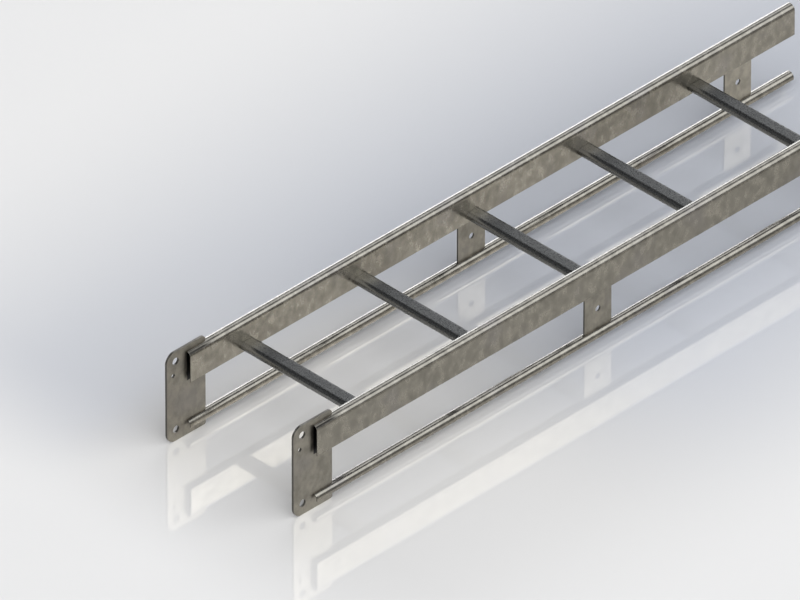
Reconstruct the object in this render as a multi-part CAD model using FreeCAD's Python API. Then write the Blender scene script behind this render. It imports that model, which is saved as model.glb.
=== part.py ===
import FreeCAD, Part
import math
import os

# Cable ladder, in millimetres. X runs along the ladder from the end plates, Y from the front rail
# to the back rail, and Z up. Both rails are alike, and each is the same on both sides of its mid
# plane. They are laid out from the plated end of the chords, the mid plane of the front rail and
# the top of its upper crown, and are moved at the end so that the origin is in the middle of the
# footprint.

# Ladder as a whole
chord_length = 1350.0
rail_spacing = 280.0
crown_spacing = 131.5

# Chords: channels folded from sheet, open downwards, with a half-round crown over straight legs
chord_sheet = 1.5
upper_width = 20.0
upper_leg = 46.5
lower_width = 18.5
lower_leg = 3.25

# End plates
plate_thickness = 4.0
plate_reach = 44.0
plate_lap = 40.5
plate_rise = 10.8
plate_drop = 15.2
plate_outer_corner = 18.0
plate_inner_top_corner = 8.0
plate_inner_foot_corner = 4.0
bolt_hole_diameter = 13.5
bolt_hole_spacing = 130.0
bolt_hole_from_top = 18.5
bolt_hole_from_edge = 19.5
small_hole_diameter = 7.5
small_hole_from_top = 44.0
small_hole_from_edge = 14.0

# Posts between the chords, spread evenly between the first and the last
post_count = 2
post_thickness = 3.0
post_width = 60.0
first_post = 630.0
last_post_from_end = 120.0
post_hole_diameter = 11.0

# Rungs: flat-oval tube, spread evenly between the first and the last
rung_count = 5
rung_width = 30.0
rung_height = 15.0
rung_wall = 1.5
rung_margin = 4.5
first_rung = 125.0
last_rung_from_end = 225.0

# Places that follow from the sizes above
lower_crown = -crown_spacing
upper_foot = -upper_width / 2 - upper_leg
lower_foot = lower_crown - lower_width / 2 - lower_leg
plate_top = plate_rise
plate_foot = lower_foot - plate_drop
window_middle = (lower_crown + upper_foot) / 2
rung_middle = upper_foot + rung_margin + rung_height / 2
post_pitch = (chord_length - last_post_from_end - first_post) / (post_count - 1)
rung_pitch = (chord_length - last_rung_from_end - first_rung) / (rung_count - 1)


def across(y, z):
    """A point of a section drawn square to the ladder's length."""
    return FreeCAD.Vector(0, y, z)


def along(x, z):
    """A point of an outline drawn on the mid plane of a rail."""
    return FreeCAD.Vector(x, 0, z)


def line(start, end):
    """A straight edge."""
    return Part.LineSegment(start, end).toShape()


def arc(start, middle, end):
    """A round edge through three points."""
    return Part.Arc(start, middle, end).toShape()


def rounded_outline(corners):
    """A face inside (point, radius) corners, each turned by an arc of its radius."""
    edges = []
    arcs = []
    for index, (corner, radius) in enumerate(corners):
        to_last = (corners[index - 1][0] - corner).normalize()
        to_next = (corners[(index + 1) % len(corners)][0] - corner).normalize()
        half_turn = to_last.getAngle(to_next) / 2
        setback = radius / math.tan(half_turn)
        inward = (to_last + to_next).normalize()
        middle = corner + inward * (radius / math.sin(half_turn) - radius)
        arcs.append((corner + to_last * setback, middle, corner + to_next * setback))
    for index, (start, middle, end) in enumerate(arcs):
        next_start = arcs[(index + 1) % len(arcs)][0]
        edges.append(arc(start, middle, end))
        edges.append(line(end, next_start))
    return Part.Face(Part.Wire(edges))


def arch(radius, middle, foot):
    """A face square to X: a half round about a middle height, over sides down to the foot."""
    return Part.Face(Part.Wire([
        line(across(-radius, foot), across(-radius, middle)),
        arc(across(-radius, middle), across(0, middle + radius), across(radius, middle)),
        line(across(radius, middle), across(radius, foot)),
        line(across(radius, foot), across(-radius, foot)),
    ]))


def channel(width, leg, crown):
    """A folded channel of one sheet on the mid plane, its crown's top at a given height."""
    radius = width / 2
    middle = crown - radius
    foot = middle - leg
    section = arch(radius, middle, foot).cut(arch(radius - chord_sheet, middle, foot))
    return section.extrude(FreeCAD.Vector(chord_length, 0, 0))


def hole(diameter, thickness, x, z):
    """The round hole through a flat piece on the mid plane."""
    start = FreeCAD.Vector(x, -thickness, z)
    return Part.makeCylinder(diameter / 2, 2 * thickness, start, FreeCAD.Vector(0, 1, 0))


def flat_piece(outline, thickness):
    """A flat piece of a given outline, centred on the mid plane."""
    piece = outline.extrude(FreeCAD.Vector(0, thickness, 0))
    piece.translate(FreeCAD.Vector(0, -thickness / 2, 0))
    return piece


def end_plate():
    """The joining plate at the start of a rail, with two bolt holes and one small hole."""
    plate = flat_piece(rounded_outline([
        (along(-plate_reach, plate_foot), plate_outer_corner),
        (along(-plate_reach, plate_top), plate_outer_corner),
        (along(plate_lap, plate_top), plate_inner_top_corner),
        (along(plate_lap, plate_foot), plate_inner_foot_corner),
    ]), plate_thickness)
    bolt_x = -plate_reach + bolt_hole_from_edge
    bolt_z = plate_top - bolt_hole_from_top
    small_x = -plate_reach + small_hole_from_edge
    small_z = plate_top - small_hole_from_top
    return plate.cut([
        hole(bolt_hole_diameter, plate_thickness, bolt_x, bolt_z),
        hole(bolt_hole_diameter, plate_thickness, bolt_x, bolt_z - bolt_hole_spacing),
        hole(small_hole_diameter, plate_thickness, small_x, small_z),
    ])


def plate_slot(crown):
    """The open-ended slot in a crown that lets the end plate through."""
    slot_depth = 2 * chord_sheet
    corner = FreeCAD.Vector(0, -plate_thickness / 2, crown - slot_depth)
    return Part.makeBox(plate_lap, plate_thickness, 2 * slot_depth, corner)


def upper_chord():
    """The deep channel along the top of a rail."""
    return channel(upper_width, upper_leg, 0).cut(plate_slot(0))


def lower_chord():
    """The shallow channel along the foot of a rail."""
    return channel(lower_width, lower_leg, lower_crown).cut(plate_slot(lower_crown))


def post(middle):
    """A flat post from the lower crown to the underside of the upper one, shaped to fit both."""
    foot = lower_crown - chord_sheet / 2
    top = -chord_sheet / 2
    size = (post_width, post_thickness, top - foot)
    corner = FreeCAD.Vector(middle - post_width / 2, -post_thickness / 2, foot)
    bar = Part.makeBox(*size, corner)
    return bar.cut([
        upper_chord(),
        lower_chord(),
        hole(post_hole_diameter, post_thickness, middle, window_middle),
    ])


def flat_oval(width, height):
    """A flat-oval face square to Y: two flats joined by half rounds."""
    flat = (width - height) / 2
    radius = height / 2
    return Part.Face(Part.Wire([
        line(along(-flat, radius), along(flat, radius)),
        arc(along(flat, radius), along(flat + radius, 0), along(flat, -radius)),
        line(along(flat, -radius), along(-flat, -radius)),
        arc(along(-flat, -radius), along(-flat - radius, 0), along(-flat, radius)),
    ]))


def rung(middle):
    """A flat-oval tube from the inner face of the front rail to the inner face of the back rail."""
    bore = flat_oval(rung_width - 2 * rung_wall, rung_height - 2 * rung_wall)
    wall = flat_oval(rung_width, rung_height).cut(bore)
    tube = wall.extrude(FreeCAD.Vector(0, rail_spacing - upper_width, 0))
    tube.translate(FreeCAD.Vector(middle, upper_width / 2, rung_middle))
    return tube


def rail(side, y):
    """The named pieces of one rail, whose mid plane stands at y."""
    pieces = {
        side + "_upper_chord": upper_chord(),
        side + "_lower_chord": lower_chord(),
        side + "_end_plate": end_plate(),
    }
    for number in range(post_count):
        pieces[side + "_post_" + str(number + 1)] = post(first_post + number * post_pitch)
    for piece in pieces.values():
        piece.translate(FreeCAD.Vector(0, y, 0))
    return pieces


def ladder():
    """All pieces by name, with the origin in the middle of the footprint."""
    pieces = {}
    pieces.update(rail("front", 0))
    pieces.update(rail("back", rail_spacing))
    for number in range(rung_count):
        pieces["rung_" + str(number + 1)] = rung(first_rung + number * rung_pitch)
    to_origin = FreeCAD.Vector((plate_reach - chord_length) / 2, -rail_spacing / 2, -plate_foot)
    for piece in pieces.values():
        piece.translate(to_origin)
    return pieces


os.makedirs("parts", exist_ok=True)
for name, piece in ladder().items():
    piece.exportStep("parts/" + name + ".step")
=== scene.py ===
import bpy
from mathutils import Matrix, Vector


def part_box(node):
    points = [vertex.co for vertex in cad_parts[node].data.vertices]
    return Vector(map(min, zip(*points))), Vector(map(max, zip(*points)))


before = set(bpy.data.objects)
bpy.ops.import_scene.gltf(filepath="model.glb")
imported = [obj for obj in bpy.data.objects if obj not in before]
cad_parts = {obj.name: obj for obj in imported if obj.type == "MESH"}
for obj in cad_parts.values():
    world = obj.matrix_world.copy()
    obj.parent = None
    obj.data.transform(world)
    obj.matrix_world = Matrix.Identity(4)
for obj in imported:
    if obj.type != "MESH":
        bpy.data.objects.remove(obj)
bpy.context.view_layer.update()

# Lengths are in metres in the ladder's own frame: X along it from its end plates, Y from its front
# rail to its back rail, and Z up. The axes are numbered as in a place or a direction.

X, Y, Z = 0, 1, 2

# The back rail's upper chord, which the front rail's mirrors
chord_low, chord_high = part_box("back_upper_chord")
CHORD_START = chord_low.x
UPPER_CROWN = chord_high.z
UPPER_FOOT = chord_low.z
RAIL_Y = (chord_low.y + chord_high.y) / 2
CHORD_HALF = (chord_high.y - chord_low.y) / 2


# The photograph looks straight down the diagonal of a cube, from beyond the end plates. The lens
# and the sensor are in millimetres.

ACROSS = Vector((1, -1, 0)).normalized()
UPWARD = Vector((1, 1, 2)).normalized()
TOWARDS_CAMERA = Vector((-1, -1, 1)).normalized()

LENS = 1150.0
SENSOR = 36.0
VIEW_WIDTH = 1.2604
CLIP_START = 1.0
CLIP_BEYOND_AIM = 40.0

# From the near end of the back rail's upper chord, on its front face and at its crown's height, to
# the middle of the picture
CHORD_CORNER = Vector((chord_low.x, chord_low.y, chord_high.z))
AIM_ACROSS = 0.3267
AIM_UPWARD = 0.0827
AIM_BEYOND = 0.42


def add_aimed(name, data, place, away):
    """A camera or a lamp at a place, aimed opposite to the direction away."""
    thing = bpy.data.objects.new(name, data)
    thing.location = place
    thing.rotation_mode = "QUATERNION"
    thing.rotation_quaternion = away.to_track_quat("Z", "Y")
    bpy.context.scene.collection.objects.link(thing)
    return thing


def add_camera():
    distance = VIEW_WIDTH * LENS / SENSOR
    data = bpy.data.cameras.new("camera")
    data.sensor_width = SENSOR
    data.lens = LENS
    data.clip_start = CLIP_START
    data.clip_end = distance + CLIP_BEYOND_AIM
    aim = CHORD_CORNER + ACROSS * AIM_ACROSS + UPWARD * AIM_UPWARD - TOWARDS_CAMERA * AIM_BEYOND
    place = aim + TOWARDS_CAMERA * distance
    bpy.context.scene.camera = add_aimed("camera", data, place, TOWARDS_CAMERA)


# Shader maths, written as plain sums

class Value:
    """A number that varies over a surface. Sums and products of it add Math nodes."""

    def __init__(self, finish, socket):
        self.finish = finish
        self.socket = socket

    def _maths(self, operation, first, second):
        node = self.finish.node("ShaderNodeMath", {"operation": operation}, {0: first, 1: second})
        return Value(self.finish, node.outputs[0])

    def __add__(self, other):
        return self._maths("ADD", self, other)

    def __radd__(self, other):
        return self._maths("ADD", other, self)

    def __sub__(self, other):
        return self._maths("SUBTRACT", self, other)

    def __rsub__(self, other):
        return self._maths("SUBTRACT", other, self)

    def __mul__(self, other):
        return self._maths("MULTIPLY", self, other)

    def __rmul__(self, other):
        return self._maths("MULTIPLY", other, self)

    def __abs__(self):
        return self._maths("ABSOLUTE", self, 0.0)

    def step(self, low, high):
        """0 up to low, 1 beyond high, and smooth between them. Low may be the larger one."""
        node = self.finish.node(
            "ShaderNodeMapRange", {"interpolation_type": "SMOOTHSTEP"},
            {"Value": self, "From Min": low, "From Max": high})
        return Value(self.finish, node.outputs[0])


class Finish:
    """The node tree of one material or of the world."""

    def __init__(self, owner):
        owner.use_nodes = True
        self.owner = owner
        self.tree = owner.node_tree
        self.tree.nodes.clear()

    def node(self, kind, settings=None, inputs=None):
        """A node of that type: its settings come first, then values or links for its inputs."""
        made = self.tree.nodes.new(kind)
        for name, value in (settings or {}).items():
            setattr(made, name, value)
        for name, value in (inputs or {}).items():
            if isinstance(value, Value):
                value = value.socket
            if isinstance(value, bpy.types.NodeSocket):
                self.tree.links.new(value, made.inputs[name])
            elif made.inputs[name].type == "RGBA":
                made.inputs[name].default_value = (*value, 1.0)
            else:
                made.inputs[name].default_value = value
        return made

    def place(self):
        """Where the surface is, in metres, in the ladder's own frame."""
        return self.node("ShaderNodeTexCoord").outputs["Object"]

    def facing(self):
        """The direction that the surface faces, in the ladder's own frame."""
        return self.node("ShaderNodeTexCoord").outputs["Normal"]

    def seen_by_camera(self):
        """1 where the camera sees the surface itself, and 0 in mirrored and scattered light."""
        return Value(self, self.node("ShaderNodeLightPath").outputs["Is Camera Ray"])

    def part_of(self, vector, axis):
        """The X, Y or Z part of a vector."""
        return Value(self, self.node("ShaderNodeSeparateXYZ", None, {0: vector}).outputs[axis])

    def aligned(self, vector, direction):
        """How far a vector of length 1 points along a direction, from -1 to 1."""
        unit = Vector(direction).normalized()
        node = self.node("ShaderNodeVectorMath", {"operation": "DOT_PRODUCT"}, {0: vector, 1: unit})
        return Value(self, node.outputs["Value"])

    def zone(self, *sides):
        """1 in a zone with soft sides and 0 outside. Each side has an axis, then where along it
        the zone starts and where it is full."""
        place = self.place()
        inside = 1.0
        for axis, start, full in sides:
            inside = inside * self.part_of(place, axis).step(start, full)
        return inside

    def stretched(self, factors):
        """The surface's place, scaled along each axis."""
        node = self.node(
            "ShaderNodeVectorMath", {"operation": "MULTIPLY"}, {0: self.place(), 1: factors})
        return node.outputs[0]

    def noise(self, scale, detail=2.0, stretch=(1, 1, 1), distortion=0.0, roughness=0.5):
        """Cloudy noise about 0.5."""
        node = self.node("ShaderNodeTexNoise", None, {
            "Vector": self.stretched(stretch), "Scale": scale, "Detail": detail,
            "Distortion": distortion, "Roughness": roughness})
        return Value(self, node.outputs["Fac"])

    def crystals(self, scale, stretch=(1, 1, 1)):
        """One random tone for each crystal of the zinc, with soft borders."""
        node = self.node("ShaderNodeTexVoronoi", {"feature": "SMOOTH_F1"}, {
            "Vector": self.stretched(stretch), "Scale": scale, "Smoothness": 0.7})
        return self.part_of(node.outputs["Color"], X)

    def mixed(self, amount, first, second):
        """The first colour where amount is 0 and the second where it is 1."""
        node = self.node("ShaderNodeMix", {"data_type": "RGBA"}, {0: amount, 6: first, 7: second})
        return node.outputs[2]

    def tinted(self, colour, tint):
        """The colour times a fixed one."""
        node = self.node("ShaderNodeVectorMath", {"operation": "MULTIPLY"}, {0: colour, 1: tint})
        return node.outputs[0]

    def scaled(self, colour, amount):
        """The colour, made lighter or darker."""
        node = self.node(
            "ShaderNodeVectorMath", {"operation": "SCALE"}, {0: colour, "Scale": amount})
        return node.outputs[0]

    def bumped(self, height, strength, distance):
        """The surface's normal, pushed about by a height that varies over it."""
        node = self.node("ShaderNodeBump", None, {
            "Height": height, "Strength": strength, "Distance": distance})
        return node.outputs[0]

    def end(self, shader, kind="ShaderNodeOutputMaterial"):
        """The material or the world, once its last shader is joined to its output."""
        self.node(kind, None, {"Surface": shader.outputs[0]})
        return self.owner


def new_material(name):
    return Finish(bpy.data.materials.new(name))


# Hot-dip galvanised steel

DULL_ZINC = (0.144, 0.135, 0.116)
CLEAN_ZINC = (0.274, 0.256, 0.221)
PURPLE_ZINC = (0.196, 0.184, 0.180)
PURPLE_SHARE = 0.4
# The flats' warm tint, part of their painted shading
FLAT_PAINTED_TINT = (1.0, 0.97, 0.91)
# Painted shade for faces turned towards the near end
NEAR_END_PAINTED_SHADE = (0.10, 0.094, 0.082)
# Painted shade inside the upper chords' near ends
CHANNEL_PAINTED_SHADE = (0.012, 0.011, 0.010)
RUNG_DULL = (0.158, 0.159, 0.154)
RUNG_CLEAN = (0.197, 0.195, 0.186)

# How fine each pattern is: about so many of its features lie along a metre
PATCHES = 16
RUNG_CLOUDS = 70
CLOUDS = 75
CRYSTALS = 110
RIPPLES = 160
RUNG_SPECKLE = 380
GRAIN = 700
FINE_RIPPLES = 900

# Roughness where the pattern is 0, and what is added where it is 1
CHORD_ROUGHNESS = 0.20
PLATE_ROUGHNESS = 0.32
MOTTLE_ROUGHNESS = 0.10
RUNG_ROUGHNESS = 0.26
SPECKLE_ROUGHNESS = 0.04

# How squarely a face looks across the ladder to be a flat, and along it to be a cut near end
FLAT_FACING = (0.85, 0.98)
END_FACING = (0.80, 0.95)

# Painted shading: how light each rail's flats are made, at each end of a stretch along the ladder
PAINTED_SHADING_STRETCH = (0.0, 0.75)
CHORD_FLAT_PAINTED_SHADING = {"front": (0.91, 0.75), "back": (1.32, 0.72)}
PLATE_FLAT_PAINTED_SHADING = {"front": (0.95, 0.95), "back": (0.95, 1.04)}

# Painted shade in the upper chords' near ends: zone along and up, and distance from the mid plane
CHORD_INSIDE = (
    (X, CHORD_START - 0.001, CHORD_START + 0.001),
    (X, CHORD_START + 0.060, CHORD_START + 0.030),
    (Z, UPPER_FOOT - 0.001, UPPER_FOOT + 0.001),
    (Z, UPPER_CROWN - 0.001, UPPER_CROWN - 0.003),
)
BETWEEN_LEGS = (CHORD_HALF - 0.0010, CHORD_HALF - 0.0022)


def painted_channel_shade(finish, colour):
    """The colour, under a painted shade where a piece stands inside an upper chord's near end."""
    from_mid_plane = abs(abs(finish.part_of(finish.place(), Y)) - RAIL_Y)
    # Painted shade: near black where the channel's inside is in shadow
    painted_shade = finish.zone(*CHORD_INSIDE) * from_mid_plane.step(*BETWEEN_LEGS)
    return finish.mixed(painted_shade, colour, CHANNEL_PAINTED_SHADE)


def zinc_mottle(finish):
    """Soft clouds and crystals of the zinc, and the fine grain over them, from 0 to 1."""
    clouds = finish.noise(CLOUDS, detail=3, stretch=(1, 1, 0.7), distortion=0.2).step(0.34, 0.66)
    crystals = finish.crystals(CRYSTALS, stretch=(1, 1, 0.8))
    grain = finish.noise(GRAIN, detail=2).step(0.3, 0.7)
    return clouds * 0.5 + crystals * 0.3 + grain * 0.2


def galvanised_sheet(name, roughness, near_painted_shading, far_painted_shading):
    """Zinc-coated sheet, with painted shading: its flats warmer than its crowns and of a set tone,
    its cut near ends darker, and dark inside the chords' near ends."""
    finish = new_material(name)
    mottle = zinc_mottle(finish)
    colour = finish.mixed(mottle, DULL_ZINC, CLEAN_ZINC)
    patches = finish.noise(PATCHES, detail=1).step(0.52, 0.72) * PURPLE_SHARE
    colour = finish.mixed(patches, colour, PURPLE_ZINC)
    # Painted shading: the flats get a warm tint and a lightness set for each rail and along the
    # ladder
    flat = abs(finish.part_of(finish.facing(), Y)).step(*FLAT_FACING)
    along = finish.part_of(finish.place(), X).step(*PAINTED_SHADING_STRETCH)
    painted_shading = near_painted_shading + along * (far_painted_shading - near_painted_shading)
    flat_painted_colour = finish.scaled(finish.tinted(colour, FLAT_PAINTED_TINT), painted_shading)
    colour = finish.mixed(flat, colour, flat_painted_colour)
    # Painted shade: faces turned towards the near end, the cut ends, are made dark
    near_end = finish.aligned(finish.facing(), (-1, 0, 0)).step(*END_FACING)
    colour = finish.mixed(near_end, colour, NEAR_END_PAINTED_SHADE)
    ripple = finish.noise(RIPPLES, detail=2) * 0.7 + finish.noise(FINE_RIPPLES, detail=1) * 0.3
    surface = finish.node("ShaderNodeBsdfPrincipled", None, {
        "Base Color": painted_channel_shade(finish, colour), "Metallic": 1.0,
        "Roughness": roughness + mottle * MOTTLE_ROUGHNESS,
        "Normal": finish.bumped(ripple, strength=0.06, distance=0.0004)})
    return finish.end(surface)


def galvanised_rung():
    """The rungs' darker and greyer zinc, with a fine speckle."""
    finish = new_material("galvanised_rung")
    speckle = finish.noise(RUNG_SPECKLE, detail=3, roughness=0.65).step(0.30, 0.70)
    clouds = finish.noise(RUNG_CLOUDS, detail=2, stretch=(1, 0.6, 1)).step(0.3, 0.7)
    surface = finish.node("ShaderNodeBsdfPrincipled", None, {
        "Base Color": finish.mixed(speckle * 0.65 + clouds * 0.35, RUNG_DULL, RUNG_CLEAN),
        "Metallic": 1.0, "Roughness": RUNG_ROUGHNESS + speckle * SPECKLE_ROUGHNESS,
        "Normal": finish.bumped(speckle, strength=0.03, distance=0.0003)})
    return finish.end(surface)


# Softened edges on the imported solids, where a surface turns by more than an angle in radians

FOLDED_EDGE = 0.0003
PLATE_EDGE = 0.0004
EDGE_STEPS = 2
EDGE_TURN = 0.6
WELD_REACH = 0.00001


def soften_edges(piece, width):
    weld = piece.modifiers.new("joined faces", "WELD")
    weld.merge_threshold = WELD_REACH
    bevel = piece.modifiers.new("softened edges", "BEVEL")
    bevel.width = width
    bevel.segments = EDGE_STEPS
    bevel.limit_method = "ANGLE"
    bevel.angle_limit = EDGE_TURN
    bevel.harden_normals = False
    smooth = piece.modifiers.new("even shading", "WEIGHTED_NORMAL")
    smooth.keep_sharp = True


def dress(names, material, edge):
    """Gives the named pieces their finish and softens their edges."""
    for name in names:
        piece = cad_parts[name]
        piece.data.materials.clear()
        piece.data.materials.append(material)
        soften_edges(piece, edge)


def dress_ladder():
    for rail in ("front", "back"):
        chord_zinc = galvanised_sheet(rail + "_chord_zinc", CHORD_ROUGHNESS, *CHORD_FLAT_PAINTED_SHADING[rail])
        dress([rail + "_upper_chord", rail + "_lower_chord"], chord_zinc, FOLDED_EDGE)
        plate_zinc = galvanised_sheet(rail + "_plate_zinc", PLATE_ROUGHNESS, *PLATE_FLAT_PAINTED_SHADING[rail])
        dress([rail + "_end_plate", rail + "_post_1", rail + "_post_2"], plate_zinc, PLATE_EDGE)
    rungs = [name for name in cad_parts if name.startswith("rung_")]
    dress(rungs, galvanised_rung(), FOLDED_EDGE)


# The pale, polished floor

FLOOR_REACH = 30.0
FLOOR_WHITE = (0.958, 0.928, 0.880)
FLOOR_SHADE = (0.595, 0.604, 0.633)
NEAR_SHADE = (0.700, 0.674, 0.632)
POLISH_SHARE = 0.32
POLISH_ROUGHNESS = 0.04
LIGHTER_SHARE = 0.35

# Tone of the floor's white in mirrored and scattered light, and the painted shade that it takes
# there beside the ladder and before the front rail
MIRRORED_WHITE = 0.91
PAINTED_SHADE_BESIDE = 0.12
PAINTED_SHADE_BEFORE = 0.46

# Zones of the floor as the camera sees it
SHADED = ((Y, 0.95, 0.15), (Y, -0.75, -0.12), (X, -0.95, -0.65))
LIGHTER_END = ((X, 0.0, -0.5), (Y, 0.5, 0.2))
WARMER_END = ((X, 0.1, -0.4), (Y, 0.30, 0.15))

# Zones of the floor's painted shade in mirrored and scattered light
BESIDE_LADDER = ((Y, -0.9, -0.45), (Y, 1.2, 0.3), (X, -1.1, -0.75))
BEFORE_FRONT_RAIL = ((Y, -0.12, -0.20),)


def pale_floor():
    """White, shading to a cool grey behind and under the ladder, and polished so that it mirrors
    the ladder. In mirrored and scattered light it takes a painted shade of its own, darkest before
    the front rail, which evens the light on the ladder's faces."""
    finish = new_material("pale_floor")
    shade = finish.zone(*SHADED)
    shade = shade - shade * finish.zone(*LIGHTER_END) * LIGHTER_SHARE
    painted_shading = finish.mixed(finish.zone(*WARMER_END), FLOOR_SHADE, NEAR_SHADE)
    seen = finish.mixed(shade, FLOOR_WHITE, painted_shading)
    # Painted shade on the floor, seen only in mirrored and scattered light, to even the ladder's
    # faces
    mirrored_painted_shade = finish.zone(*BESIDE_LADDER) * (PAINTED_SHADE_BESIDE + finish.zone(*BEFORE_FRONT_RAIL) * PAINTED_SHADE_BEFORE)
    mirrored = finish.scaled(FLOOR_WHITE, MIRRORED_WHITE - mirrored_painted_shade)
    colour = finish.mixed(finish.seen_by_camera(), mirrored, seen)
    matt = finish.node("ShaderNodeBsdfDiffuse", None, {"Color": colour})
    polish = finish.node("ShaderNodeBsdfGlossy", None, {
        "Color": (1, 1, 1), "Roughness": POLISH_ROUGHNESS})
    both = finish.node("ShaderNodeMixShader", None, {
        0: POLISH_SHARE, 1: matt.outputs[0], 2: polish.outputs[0]})
    return finish.end(both)


def add_floor():
    mesh = bpy.data.meshes.new("floor")
    reach = FLOOR_REACH
    corners = [(-reach, -reach, 0), (reach, -reach, 0), (reach, reach, 0), (-reach, reach, 0)]
    mesh.from_pydata(corners, [], [(0, 1, 2, 3)])
    mesh.materials.append(pale_floor())
    floor = bpy.data.objects.new("floor", mesh)
    bpy.context.scene.collection.objects.link(floor)


# The studio round the ladder. Each patch has the direction of its middle, then how far a direction
# points that way where the patch starts and where it is full, and the brightness that it adds.

STUDIO_COLOUR = (0.95, 0.98, 1.04)
STUDIO_BRIGHTNESS = 0.33
WALL_BEHIND_CAMERA = ((-1, -1, 0.9), 0.35, 0.85, 2.25)
FAR_WALL = ((1, 1.4, 0.25), 0.95, 0.975, 4.8)
HIGH_PANEL = ((1, 0.5, 1.32), 0.965, 0.985, 2.3)
DARKER_LEFT = ((-1, 1, 1), 0.1, 0.9, -0.27)
DARKER_FAR_CEILING = ((1, 1, 1), 0.95, 0.985, -0.13)

KEY_DIRECTION = Vector((1, -1, 1)).normalized()
KEY_DISTANCE = 12.0
KEY_WIDTH = 8.4
KEY_POWER = 435
KEY_COLOUR = (0.94, 0.97, 1.0)


def light_world():
    """A dim studio with a bright wall behind the camera and two bright panels beyond the ladder."""
    world = bpy.data.worlds.new("studio")
    bpy.context.scene.world = world
    finish = Finish(world)
    looking = finish.node("ShaderNodeTexCoord").outputs["Generated"]
    level = STUDIO_BRIGHTNESS
    patches = (WALL_BEHIND_CAMERA, FAR_WALL, HIGH_PANEL, DARKER_LEFT, DARKER_FAR_CEILING)
    for middle, start, full, brightness in patches:
        level = level + finish.aligned(looking, middle).step(start, full) * brightness
    background = finish.node("ShaderNodeBackground", None, {
        "Color": STUDIO_COLOUR, "Strength": level})
    finish.end(background, "ShaderNodeOutputWorld")


def add_key_lamp():
    data = bpy.data.lights.new("key", "AREA")
    data.shape = "DISK"
    data.color = KEY_COLOUR
    data.size = KEY_WIDTH
    data.energy = KEY_POWER
    add_aimed("key", data, KEY_DIRECTION * KEY_DISTANCE, KEY_DIRECTION)


add_camera()
add_floor()
light_world()
add_key_lamp()
dress_ladder()

scene = bpy.context.scene
scene.view_settings.view_transform = "Standard"
